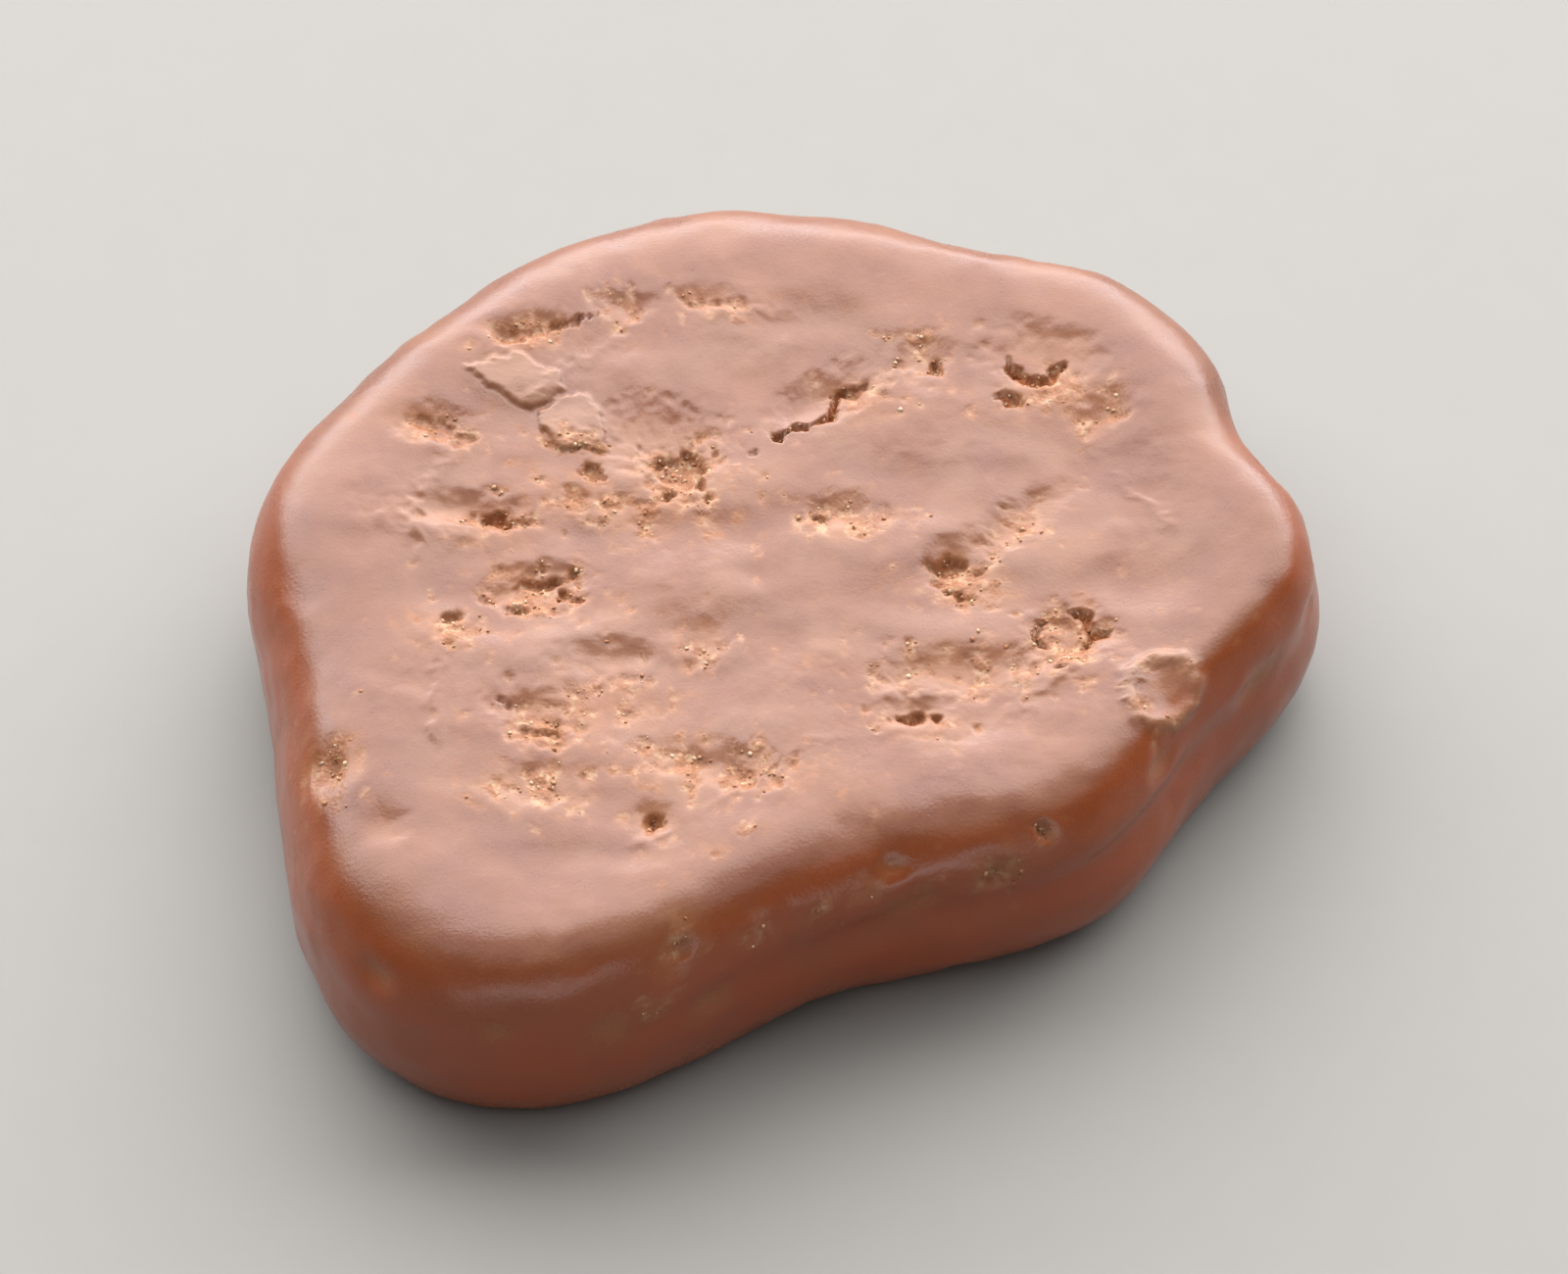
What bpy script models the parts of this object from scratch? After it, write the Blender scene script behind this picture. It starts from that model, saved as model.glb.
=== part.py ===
"""Chocolate covered banana chip: one crisp banana slice wholly enrobed in milk chocolate.

The coat hides the slice, so the chip is one solid. It lies on the flat foot that the wet chocolate
set on, with its broad pitted face up. Metres, +Z up, origin under the middle of the chip at the foot.
"""

import math
import random
from typing import NamedTuple

import bmesh
import bpy
import numpy as np
from mathutils import Vector, noise

MM = 0.001

# Plan outline: a mean radius with the slice's lobes and hollows on it
MEAN_RADIUS = 15.95 * MM


class Lobe(NamedTuple):
    """A swelling (or a hollow, where rise is negative) of the outline."""

    bearing: float
    rise: float
    spread: float


OUTLINE = {
    "long lobe": Lobe(bearing=-126, rise=4.3 * MM, spread=26),
    "straight flank": Lobe(bearing=-73, rise=-2.8 * MM, spread=31),
    "flank end": Lobe(bearing=-40, rise=0.4 * MM, spread=11),
    "right cheek": Lobe(bearing=4, rise=3.1 * MM, spread=16),
    "right notch": Lobe(bearing=21, rise=-0.35 * MM, spread=6),
    "upper right corner": Lobe(bearing=38, rise=2.95 * MM, spread=20),
    "crown": Lobe(bearing=92, rise=0.5 * MM, spread=26),
    "upper left corner": Lobe(bearing=167, rise=1.2 * MM, spread=19),
}

# Rim: a fat rounded bead of chocolate, thickest at the long lobe
RIM_HALF_THICKNESS = 4.25 * MM
RIM_HALF_WIDTH = 3.3 * MM
RIM_FULLNESS = 2.4
SLIM_SHARE = 0.38
SLIM_BEARING = -12
SLIM_SPREAD = 26
LOBE_SWELL = 0.07
SWELL_BEARING = -120
FOOT_SINK = 0.40 * MM

# Faces: sunk a little inside the bead, where the coat is thin over the crisp slice
FACE_SINK = 0.20 * MM
UNDERSIDE_SINK = 0.45 * MM
SINK_RAMP = 3.2 * MM

# Waviness of the whole coat, low ridges across the faces, and the drape line along the straight flank
LUMP_SIZE = 9.0 * MM
LUMP_HEIGHT = 0.30 * MM
RIPPLE_SIZE = 2.6 * MM
RIPPLE_HEIGHT = 0.08 * MM
RIDGE_SIZE = 2.3 * MM
RIDGE_STRETCH = 2.4
RIDGE_HEIGHT = 0.15 * MM
DRAPE_DEPTH = 0.38 * MM
DRAPE_LEVEL = 0.9 * MM
DRAPE_WIDTH = 0.9 * MM
DRAPE_BEARING = -55
DRAPE_SPREAD = 50

# Spacing of the mesh: fine on the pitted face, coarser round the rim and below
FACE_SPACING = 0.46 * MM
RIM_SPACING = 0.72 * MM
UNDERSIDE_SPACING = 0.90 * MM

TAU = 2 * math.pi


class Scar(NamedTuple):
    """A mark in the coat: where it is, its size, how deep it goes, and how it is shaped."""

    x: float
    y: float
    length: float
    width: float
    turn: float
    depth: float
    shape: str = "dent"


# Where the middle of the chip's box lies in the outline's own plan, in millimetres
SCAR_SPREAD = 0.985
SCAR_SHIFT_X = 1.0
SCAR_SHIFT_Y = -0.93


def mark(x, y, length, width, turn, depth, shape="dent"):
    """A scar given in millimetres about the middle of the chip's own box, turn in degrees."""
    across = (x * SCAR_SPREAD + SCAR_SHIFT_X) * MM
    back = (y * SCAR_SPREAD + SCAR_SHIFT_Y) * MM
    return Scar(across, back, length * MM, width * MM, math.radians(turn), depth * MM, shape)


FACE_SCARS = (
    # Soft dents, where the coat has settled into the slice's seed pockets
    mark(-4.2, 6.3, 4.8, 3.4, 0, 0.42),
    mark(-3.4, 4.9, 3.0, 2.6, 0, 0.36),
    mark(-11.0, 3.1, 5.0, 1.8, 2, 0.31),
    mark(-8.2, 0.1, 3.8, 2.0, 15, 0.39),
    mark(9.0, 9.9, 4.6, 3.0, -6, 0.32),
    mark(1.6, 8.2, 4.8, 2.2, 35, 0.34),
    mark(2.2, 3.4, 2.8, 1.6, 0, 0.28),
    mark(5.9, 1.3, 2.8, 2.2, 30, 0.39),
    mark(8.2, 3.2, 4.4, 1.8, 42, 0.28),
    mark(9.7, -1.6, 3.1, 2.6, 0, 0.42),
    mark(4.5, -4.9, 2.8, 1.5, 4, 0.31),
    mark(-5.9, -3.0, 4.0, 1.8, 4, 0.34),
    mark(-8.4, -5.4, 3.6, 2.4, -20, 0.28),
    mark(-8.9, 10.8, 2.8, 1.5, 15, 0.31),
    mark(-5.4, 11.9, 2.4, 1.4, 0, 0.25),
    mark(-2.7, 12.3, 3.0, 1.2, 0, 0.14),
    mark(-12.0, 6.8, 3.6, 1.8, -10, 0.25),
    mark(4.9, 10.0, 2.2, 2.2, 0, 0.22),
    mark(-14.9, -7.4, 2.4, 2.6, 0, 0.31),
    mark(-13.1, -10.0, 1.9, 1.9, 0, 0.20),
    mark(-4.2, -9.5, 1.8, 1.8, 0, 0.25),
    mark(11.0, 7.6, 2.8, 1.4, 30, 0.20),
    mark(6.3, -3.2, 6.7, 2.0, 8, 0.25),
    mark(-8.0, -8.3, 3.8, 2.2, 0, 0.20),
    mark(-2.2, -7.2, 5.4, 2.0, -5, 0.21),
    mark(12.9, -4.0, 2.3, 2.1, 0, 0.20),
    # Ragged wells and slits in those dents, where the coat has broken
    mark(-3.3, 5.0, 1.9, 1.6, 20, 0.34, "well"),
    mark(-9.45, 2.8, 1.6, 1.0, -15, 0.42, "well"),
    mark(-8.2, 0.0, 2.4, 1.0, 12, 0.32, "well"),
    mark(0.9, 7.1, 3.4, 0.9, 38, 0.50, "well"),
    mark(-0.9, 5.8, 1.2, 1.0, 0, 0.34, "well"),
    mark(8.6, 9.0, 2.4, 1.1, 0, 0.48, "well"),
    mark(5.8, 0.8, 1.6, 1.4, 0, 0.40, "well"),
    mark(10.3, -1.5, 1.1, 2.0, 0, 0.42, "well"),
    mark(8.8, -1.8, 1.0, 1.5, 0, 0.30, "well"),
    mark(4.5, -5.2, 1.7, 1.0, 0, 0.42, "well"),
    mark(-7.9, -6.1, 1.5, 1.1, 0, 0.36, "well"),
    mark(-4.2, -9.6, 1.0, 1.0, 0, 0.40, "well"),
    mark(-8.3, 10.7, 2.4, 0.9, 14, 0.26, "well"),
    mark(-2.7, 12.1, 1.8, 0.9, -5, 0.16, "well"),
    mark(-14.9, -7.5, 1.3, 1.4, 0, 0.24, "well"),
    # A burst bubble's raised ring, and two lifted plates of coat
    mark(12.9, -4.05, 2.5, 2.5, 0, 0.16, "ring"),
    mark(-7.1, 6.9, 2.4, 2.1, 0, -0.18, "well"),
    mark(-9.1, 8.7, 3.2, 1.6, -10, -0.13, "well"),
)

SCATTER_SEED = 29
UNDERSIDE_SCAR_COUNT = 34
RIM_SCAR_COUNT = 30
SCAR_RAGGEDNESS = 0.30
SCAR_GRAIN = 1.1 * MM
RING_WIDTH = 0.34


def smooth_step(low, high, value):
    """0 below low, 1 above high, and a smooth ramp between them."""
    t = np.clip((value - low) / (high - low), 0.0, 1.0)
    return t * t * (3 - 2 * t)


def wobble(points, size, octaves=2):
    """Smooth noise from about -1 to 1 at each point, with features of that size."""
    return np.array([noise.fractal(Vector(p) / size, 1.0, 2.0, octaves) for p in points])


def bump_round(bearing, centre, spread):
    """1 at the centre bearing, falling to 0 either side of it. Centre and spread are in degrees."""
    away = np.abs((bearing - math.radians(centre) + math.pi) % TAU - math.pi)
    return np.exp(-((away / math.radians(spread)) ** 2))


def outline_radius(bearing):
    """How far the rim reaches at each bearing, in plan."""
    reach = np.full_like(bearing, MEAN_RADIUS)
    for lobe in OUTLINE.values():
        reach += lobe.rise * bump_round(bearing, lobe.bearing, lobe.spread)
    return reach


def half_thickness(bearing):
    """Half the bead's height: the coat is fuller at the long lobe and leaner opposite it."""
    return RIM_HALF_THICKNESS * (1 + LOBE_SWELL * np.cos(bearing - math.radians(SWELL_BEARING)))


def half_width(bearing):
    """Half the bead's width: the face runs nearer to the edge at the right cheek."""
    return RIM_HALF_WIDTH * (1 - SLIM_SHARE * bump_round(bearing, SLIM_BEARING, SLIM_SPREAD))


def power(value, exponent):
    """A signed power, for the superellipse."""
    return np.sign(value) * np.abs(value) ** exponent


def surface_point(station, bearing):
    """A point of the smooth coat and its outward normal.

    Station runs down the profile: 0 is the middle of the face, 1 the crest of the bead, 2 the bead's
    lowest line and 3 the middle of the underside.
    """
    width = half_width(bearing)
    inner = outline_radius(bearing) - width
    height = half_thickness(bearing)
    round_rim = np.clip(station - 1, 0, 1) * math.pi
    out = width * power(np.sin(round_rim), 2 / RIM_FULLNESS)
    reach = inner * np.clip(np.minimum(station, 3 - station), 0, 1) + out
    # Across a face the height blends to its mean, so that the middle is one point
    flat = smooth_step(0.0, 0.8, np.minimum(station, 3 - station))
    height = RIM_HALF_THICKNESS + (height - RIM_HALF_THICKNESS) * flat
    level = height * power(np.cos(round_rim), 2 / RIM_FULLNESS)
    side = power(np.sin(round_rim), 2 - 2 / RIM_FULLNESS) / width
    lift = power(np.cos(round_rim), 2 - 2 / RIM_FULLNESS) / RIM_HALF_THICKNESS
    length = np.hypot(side, lift)
    points = np.stack([reach * np.cos(bearing), reach * np.sin(bearing), level], axis=-1)
    normals = np.stack([side * np.cos(bearing), side * np.sin(bearing), lift], axis=-1)
    return points, normals / length[:, None]


def ring_stations():
    """The stations of the rings, spaced along the profile as each zone asks."""
    inner = MEAN_RADIUS - RIM_HALF_WIDTH
    rim_length = math.pi * math.sqrt((RIM_HALF_WIDTH**2 + RIM_HALF_THICKNESS**2) / 2)
    face_rings = round(inner / FACE_SPACING)
    rim_rings = round(rim_length / RIM_SPACING)
    underside_rings = round(inner / UNDERSIDE_SPACING)
    face = [(k / face_rings, FACE_SPACING) for k in range(1, face_rings)]
    rim = [(1 + k / rim_rings, RIM_SPACING) for k in range(rim_rings + 1)]
    underside = [(2 + k / underside_rings, UNDERSIDE_SPACING) for k in range(1, underside_rings)]
    return face + rim + underside


def ring_bearings(station, spacing):
    """Evenly spread bearings for one ring, as many as its length asks for."""
    probe = np.linspace(-math.pi, math.pi, 72, endpoint=False)
    points, _ = surface_point(np.full_like(probe, station), probe)
    length = np.linalg.norm(points - np.roll(points, 1, axis=0), axis=1).sum()
    count = max(6, round(length / spacing))
    return np.arange(count) / count * TAU - math.pi


def scar_frame(scar, above):
    """Where a scar's middle lies on the smooth coat, and the direction that it runs in."""
    bearing = np.array([math.atan2(scar.y, scar.x)])
    reach = math.hypot(scar.x, scar.y)
    width = float(half_width(bearing)[0])
    past_crest = (reach - float(outline_radius(bearing)[0]) + width) / width
    past_crest = min(max(past_crest, 0.0), 1.0)
    level = float(half_thickness(bearing)[0]) * (1 - past_crest**RIM_FULLNESS) ** (1 / RIM_FULLNESS)
    middle = np.array([scar.x, scar.y, level if above else -level])
    return middle, np.array([math.cos(scar.turn), math.sin(scar.turn), 0.0])


def scar_depth(points, ragged, scar, middle, along):
    """How deep one scar cuts below the smooth coat at each point."""
    offset = points - middle
    run = offset @ along
    across = np.sqrt(np.maximum((offset**2).sum(axis=1) - run**2, 0))
    away = np.hypot(run / (scar.length / 2), across / (scar.width / 2))
    if scar.shape == "dent":
        return scar.depth * (1 - smooth_step(0.0, 1.25, away))
    if scar.shape == "ring":
        return -scar.depth * np.exp(-(((away - 1) / RING_WIDTH) ** 2))
    return scar.depth * (1 - smooth_step(0.30, 1.15, away * (1 + SCAR_RAGGEDNESS * ragged)))


def underside_scars(draw):
    """Dents spread over the underside as they are over the face."""
    for _ in range(UNDERSIDE_SCAR_COUNT):
        bearing = draw.uniform(-math.pi, math.pi)
        reach = MEAN_RADIUS * 0.78 * math.sqrt(draw.random())
        length = draw.uniform(2.0, 4.4) * MM
        yield Scar(
            reach * math.cos(bearing),
            reach * math.sin(bearing),
            length,
            length * draw.uniform(0.45, 0.85),
            draw.uniform(-0.5, 0.9),
            draw.uniform(0.3, 0.8) * MM,
        )


def rim_scars(draw):
    """Small dimples round the side of the rim: each is a scar, its middle and its direction."""
    for _ in range(RIM_SCAR_COUNT):
        bearing = np.array([draw.uniform(-math.pi, math.pi)])
        station = np.array([draw.uniform(1.25, 1.75)])
        middle, _ = surface_point(station, bearing)
        around = np.array([-math.sin(bearing[0]), math.cos(bearing[0]), 0.0])
        length = draw.uniform(1.3, 3.0) * MM
        width = length * draw.uniform(0.5, 0.9)
        depth = draw.uniform(0.10, 0.25) * MM
        yield Scar(0, 0, length, width, 0, depth), middle[0], around


def all_scars():
    """Every scar with its middle and direction."""
    draw = random.Random(SCATTER_SEED)
    for scar in FACE_SCARS:
        yield (scar, *scar_frame(scar, above=True))
    for scar in underside_scars(draw):
        yield (scar, *scar_frame(scar, above=False))
    yield from rim_scars(draw)


def relief(points, normals, stations):
    """How far the real coat stands out from the smooth one, along its normal."""
    rise = LUMP_HEIGHT * wobble(points, LUMP_SIZE) + RIPPLE_HEIGHT * wobble(points, RIPPLE_SIZE)
    bearing = np.arctan2(points[:, 1], points[:, 0])
    inward = outline_radius(bearing) - half_width(bearing) - np.hypot(points[:, 0], points[:, 1])
    sink = smooth_step(0.0, SINK_RAMP, inward)
    rise += RIDGE_HEIGHT * sink * wobble(points / (RIDGE_STRETCH, 1, 1), RIDGE_SIZE)
    rise -= np.where(stations < 1.5, FACE_SINK, UNDERSIDE_SINK) * sink
    side = 1 - np.abs(normals[:, 2])
    drape = np.exp(-(((points[:, 2] - DRAPE_LEVEL) / DRAPE_WIDTH) ** 2))
    drape *= bump_round(bearing, DRAPE_BEARING, DRAPE_SPREAD)
    rise -= DRAPE_DEPTH * drape * smooth_step(0.3, 0.9, side)
    ragged = wobble(points, SCAR_GRAIN)
    for scar, middle, along in all_scars():
        rise -= scar_depth(points, ragged, scar, middle, along)
    return rise


def coat_rings():
    """The finished points of the coat, ring by ring from the face's middle to the underside's."""
    rings = [(np.zeros(1), np.zeros(1))]
    for station, spacing in ring_stations():
        bearings = ring_bearings(station, spacing)
        rings.append((np.full_like(bearings, station), bearings))
    rings.append((np.full(1, 3.0), np.zeros(1)))
    stations = np.concatenate([ring[0] for ring in rings])
    bearings = np.concatenate([ring[1] for ring in rings])
    points, normals = surface_point(stations, bearings)
    points = points + normals * relief(points, normals, stations)[:, None]
    points[:, 2] = np.maximum(points[:, 2] + RIM_HALF_THICKNESS - FOOT_SINK, 0.0)
    middle = (points[:, :2].min(axis=0) + points[:, :2].max(axis=0)) / 2
    points[:, :2] -= middle
    return points, [ring[1] for ring in rings]


def stitch(mesh, upper, upper_bearings, lower, lower_bearings):
    """Fills the band between two closed rings with triangles, stepping round whichever ring lags."""
    i, j = 0, 0
    while i < len(upper) or j < len(lower):
        next_upper = upper_bearings[i] + TAU / (2 * len(upper)) if i < len(upper) else math.inf
        next_lower = lower_bearings[j] + TAU / (2 * len(lower)) if j < len(lower) else math.inf
        a, b = upper[i % len(upper)], lower[j % len(lower)]
        if next_upper <= next_lower:
            if len(upper) > 1:
                mesh.faces.new((a, b, upper[(i + 1) % len(upper)]))
            i += 1
        else:
            if len(lower) > 1:
                mesh.faces.new((a, b, lower[(j + 1) % len(lower)]))
            j += 1


def build_coat_mesh():
    """The chip's one closed skin."""
    points, ring_angles = coat_rings()
    coat = bmesh.new()
    verts = [coat.verts.new(p) for p in points]
    start = 0
    for above, below in zip(ring_angles, ring_angles[1:]):
        middle = start + len(above)
        stitch(coat, verts[start:middle], above, verts[middle : middle + len(below)], below)
        start = middle
    bmesh.ops.recalc_face_normals(coat, faces=coat.faces)
    mesh = bpy.data.meshes.new("coated_chip")
    coat.to_mesh(mesh)
    coat.free()
    mesh.shade_smooth()
    return mesh


def milk_chocolate():
    """Milk chocolate, satin where it is thick."""
    material = bpy.data.materials.new("milk_chocolate")
    material.use_nodes = True
    shader = material.node_tree.nodes["Principled BSDF"]
    shader.inputs["Base Color"].default_value = (0.36, 0.135, 0.058, 1.0)
    shader.inputs["Roughness"].default_value = 0.38
    shader.inputs["Metallic"].default_value = 0.0
    return material


def main():
    """Clears the scene and builds the chip."""
    for old in list(bpy.data.objects):
        bpy.data.objects.remove(old)
    chip = bpy.data.objects.new("coated_chip", build_coat_mesh())
    chip.data.materials.append(milk_chocolate())
    bpy.context.scene.collection.objects.link(chip)


main()
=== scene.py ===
"""The look of a chocolate covered banana chip: its milk chocolate coat and the crumbs in its pits.

Everything is in metres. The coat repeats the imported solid's form at a finer spacing and adds the
fine relief: ragged pits, crumb, cracks and ripples. The chip lies face up on a pale floor.
"""

import logging
import math
import random
from dataclasses import dataclass
from enum import Enum
from typing import Any, Iterator, Optional, Union

import bpy
import numpy as np
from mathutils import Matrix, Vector, noise


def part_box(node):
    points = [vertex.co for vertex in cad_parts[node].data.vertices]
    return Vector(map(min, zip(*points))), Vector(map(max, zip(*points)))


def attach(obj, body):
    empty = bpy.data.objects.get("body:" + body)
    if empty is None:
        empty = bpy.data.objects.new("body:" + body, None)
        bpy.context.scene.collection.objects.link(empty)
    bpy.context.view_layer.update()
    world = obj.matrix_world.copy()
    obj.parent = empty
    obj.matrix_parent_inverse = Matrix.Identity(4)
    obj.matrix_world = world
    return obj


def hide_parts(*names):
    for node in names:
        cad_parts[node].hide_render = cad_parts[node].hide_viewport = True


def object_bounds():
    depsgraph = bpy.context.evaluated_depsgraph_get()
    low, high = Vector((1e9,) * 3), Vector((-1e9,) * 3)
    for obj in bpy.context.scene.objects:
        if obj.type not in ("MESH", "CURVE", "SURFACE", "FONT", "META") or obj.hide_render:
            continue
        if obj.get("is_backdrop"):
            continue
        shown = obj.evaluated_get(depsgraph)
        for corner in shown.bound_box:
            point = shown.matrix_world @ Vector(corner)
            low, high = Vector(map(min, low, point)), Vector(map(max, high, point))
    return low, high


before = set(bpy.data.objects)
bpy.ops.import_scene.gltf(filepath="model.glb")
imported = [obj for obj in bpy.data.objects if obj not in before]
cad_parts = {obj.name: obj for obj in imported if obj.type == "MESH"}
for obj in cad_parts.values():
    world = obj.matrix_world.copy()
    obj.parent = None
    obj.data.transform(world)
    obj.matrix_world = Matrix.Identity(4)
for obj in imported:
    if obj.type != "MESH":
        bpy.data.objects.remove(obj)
CAD_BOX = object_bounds()

MM = 0.001
TAU = 2 * math.pi
ROOT = "root"
CAD_NODE = "coated_chip"
MARK_SPREAD = 0.985
MARK_SHIFT = (1.0, -0.93)

NOTES = ("crumb", "hollow", "side", "amber", "flake")

Colour = tuple[float, float, float]
Span = tuple[float, float]
Array = np.ndarray
Socket = bpy.types.NodeSocket
log = logging.getLogger("banana_chip")


def ramp(low: float, high: float, value: Array) -> Array:
    """A smooth ramp from 0 where the value is low to 1 where it is high."""
    t = np.clip((value - low) / (high - low), 0.0, 1.0)
    return t * t * (3 - 2 * t)


def fade(span: Span, value: Array) -> Array:
    """A smooth fall from 1 where the value is at the span's start to 0 at its end."""
    return 1 - ramp(*span, value)


def wobble(points: Array, size: float, octaves: int = 2) -> Array:
    """Smooth noise of about -1 to 1 at each point, its features as broad as size."""
    return np.array([noise.fractal(Vector(p) / size, 1.0, 2.0, octaves) for p in points])


def drift(points: Array, size: float) -> Array:
    """Noise that moves places about: a vector of about unit length at each point."""
    return np.array([noise.turbulence_vector(Vector(p) / size, 3, False) for p in points])


def grains(points: Array, size: float) -> Array:
    """Packed round grains: 0 at the top of each grain, about 1 in the gaps between them."""
    return np.array([noise.voronoi(Vector(p) / size)[0][0] for p in points])


def bearing_bump(bearing: Array, centre: float, spread: float) -> Array:
    """A round bump in bearing: 1 at the centre, 0 far from it. Centre and spread in degrees."""
    away = np.abs((bearing - math.radians(centre) + math.pi) % TAU - math.pi)
    return np.exp(-((away / math.radians(spread)) ** 2))


def signed_power(value: Array, exponent: float) -> Array:
    """Raises each value's size to a power and keeps its sign."""
    return np.sign(value) * np.abs(value) ** exponent


def new_object(name: str, data: Any) -> bpy.types.Object:
    """Makes an object of some data and puts it in the scene.

    Args:
        name: what it is called.
        data: its mesh, light or camera.

    Returns:
        The object.
    """
    made = bpy.data.objects.new(name, data)
    bpy.context.scene.collection.objects.link(made)
    return made


@dataclass(frozen=True)
class Lobe:
    """A swelling of the outline, or a hollow if rise is negative. Bearing and spread in degrees."""

    bearing: float
    rise: float
    spread: float


@dataclass(frozen=True)
class SliceOutline:
    """The chip's outline in plan: a mean radius with lobes on it."""

    mean_radius: float = 15.95 * MM
    long_lobe: Lobe = Lobe(-126, 4.3 * MM, 26)
    straight_flank: Lobe = Lobe(-73, -2.8 * MM, 31)
    flank_end: Lobe = Lobe(-40, 0.4 * MM, 11)
    right_cheek: Lobe = Lobe(4, 3.1 * MM, 16)
    right_notch: Lobe = Lobe(21, -0.35 * MM, 6)
    upper_right_corner: Lobe = Lobe(38, 2.95 * MM, 20)
    crown: Lobe = Lobe(92, 0.5 * MM, 26)
    upper_left_corner: Lobe = Lobe(167, 1.2 * MM, 19)

    def reach(self, bearing: Array) -> Array:
        """How far the rim reaches at each bearing.

        Args:
            bearing: the bearings, in radians.

        Returns:
            The reaches.
        """
        out = np.full_like(bearing, self.mean_radius)
        for lobe in (value for value in vars(self).values() if isinstance(value, Lobe)):
            out += lobe.rise * bearing_bump(bearing, lobe.bearing, lobe.spread)
        return out


@dataclass(frozen=True)
class RimBead:
    """The fat rounded bead of chocolate round the slice, a superellipse in section."""

    half_thickness: float = 4.25 * MM
    half_width: float = 3.3 * MM
    slim_share: float = 0.38
    slim_bearing: float = -12
    slim_spread: float = 26
    fullness: float = 2.4
    lobe_swell: float = 0.07
    swell_bearing: float = -120

    def height(self, bearing: Array) -> Array:
        """Half the bead's thickness at each bearing: fuller at the long lobe."""
        lean = np.cos(bearing - math.radians(self.swell_bearing))
        return self.half_thickness * (1 + self.lobe_swell * lean)

    def width(self, bearing: Array) -> Array:
        """Half the bead's width at each bearing: slimmer at the right cheek."""
        slimmer = self.slim_share * bearing_bump(bearing, self.slim_bearing, self.slim_spread)
        return self.half_width * (1 - slimmer)

    def surface(self, outline: SliceOutline, station: Array, bearing: Array) -> tuple[Array, Array]:
        """The smooth coat.

        Args:
            outline: the chip's outline.
            station: how far down the profile: 0 the middle of the face, 1 the crest of the bead,
                2 its lowest line, 3 the middle of the underside.
            bearing: the bearing of each point, in radians.

        Returns:
            The points, and their outward normals.
        """
        width = self.width(bearing)
        inner = outline.reach(bearing) - width
        turn = np.clip(station - 1, 0, 1) * math.pi
        inward = np.minimum(station, 3 - station)
        reach = inner * np.clip(inward, 0, 1)
        reach += width * signed_power(np.sin(turn), 2 / self.fullness)
        height = self.height(bearing) - self.half_thickness
        height = self.half_thickness + height * ramp(0.0, 0.8, inward)
        level = height * signed_power(np.cos(turn), 2 / self.fullness)
        side = signed_power(np.sin(turn), 2 - 2 / self.fullness) / width
        lift = signed_power(np.cos(turn), 2 - 2 / self.fullness) / self.half_thickness
        points = np.stack([reach * np.cos(bearing), reach * np.sin(bearing), level], axis=-1)
        normals = np.stack([side * np.cos(bearing), side * np.sin(bearing), lift], axis=-1)
        return points, normals / np.hypot(side, lift)[:, None]


class MarkKind(Enum):
    """What a mark in the coat looks like."""

    HOLLOW = "hollow"
    HOLE = "hole"
    CRUMB = "crumb"
    RING = "ring"


@dataclass(frozen=True)
class Mark:
    """A mark in the coat: its place in plan, its size, which way it runs and how deep it goes."""

    x: float
    y: float
    length: float
    width: float
    turn: float
    depth: float

    def away(self, points: Array, middle: Array, along: Array) -> Array:
        """How far points lie from the mark.

        Args:
            points: places on the smooth coat.
            middle: the mark's middle on the smooth coat.
            along: the unit vector that it runs along.

        Returns:
            0 in the middle, 1 on its elliptical edge and more beyond it.
        """
        offset = points - middle
        run = offset @ along
        across = np.sqrt(np.maximum((offset**2).sum(axis=1) - run**2, 0))
        return np.hypot(run / (self.length / 2), across / (self.width / 2))


def on_face(x: float, y: float) -> tuple[float, float]:
    """A place in plan in metres, from one in millimetres about the middle of the chip's own box."""
    return (x * MARK_SPREAD + MARK_SHIFT[0]) * MM, (y * MARK_SPREAD + MARK_SHIFT[1]) * MM


def marks(*rows: tuple[float, float, float, float, float, float]) -> tuple[Mark, ...]:
    """Marks by x, y, length, width in millimetres, turn in degrees and depth in millimetres."""
    return tuple(
        Mark(*on_face(x, y), length * MM, width * MM, math.radians(turn), depth * MM)
        for x, y, length, width, turn, depth in rows
    )


@dataclass(frozen=True)
class SideMark:
    """A mark on the side of the rim: its place by bearing and station, its size and its depth.

    Bearing and turn are in degrees, the sizes in millimetres. Turn 0 runs round the rim.
    """

    bearing: float
    station: float
    length: float
    width: float
    turn: float
    depth: float


@dataclass(frozen=True)
class Crack:
    """A narrow crack through points in plan, each x, y and the width there in millimetres."""

    points: tuple[tuple[float, float, float], ...]
    depth: float

    def away(self, points: Array) -> Array:
        """How far points lie from the crack in plan.

        Args:
            points: places on the coat.

        Returns:
            0 along the crack, 1 at its edge and more beyond it.
        """
        nearest = np.full(len(points), np.inf)
        for (ax, ay, wide), (bx, by, narrow) in zip(self.points, self.points[1:]):
            start = np.array(on_face(ax, ay))
            leg = np.array(on_face(bx, by)) - start
            t = np.clip(((points[:, :2] - start) @ leg) / (leg @ leg), 0, 1)
            gap = np.linalg.norm(points[:, :2] - start - t[:, None] * leg, axis=1)
            nearest = np.minimum(nearest, gap / ((wide + (narrow - wide) * t) * MM / 2))
        return nearest


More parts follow.
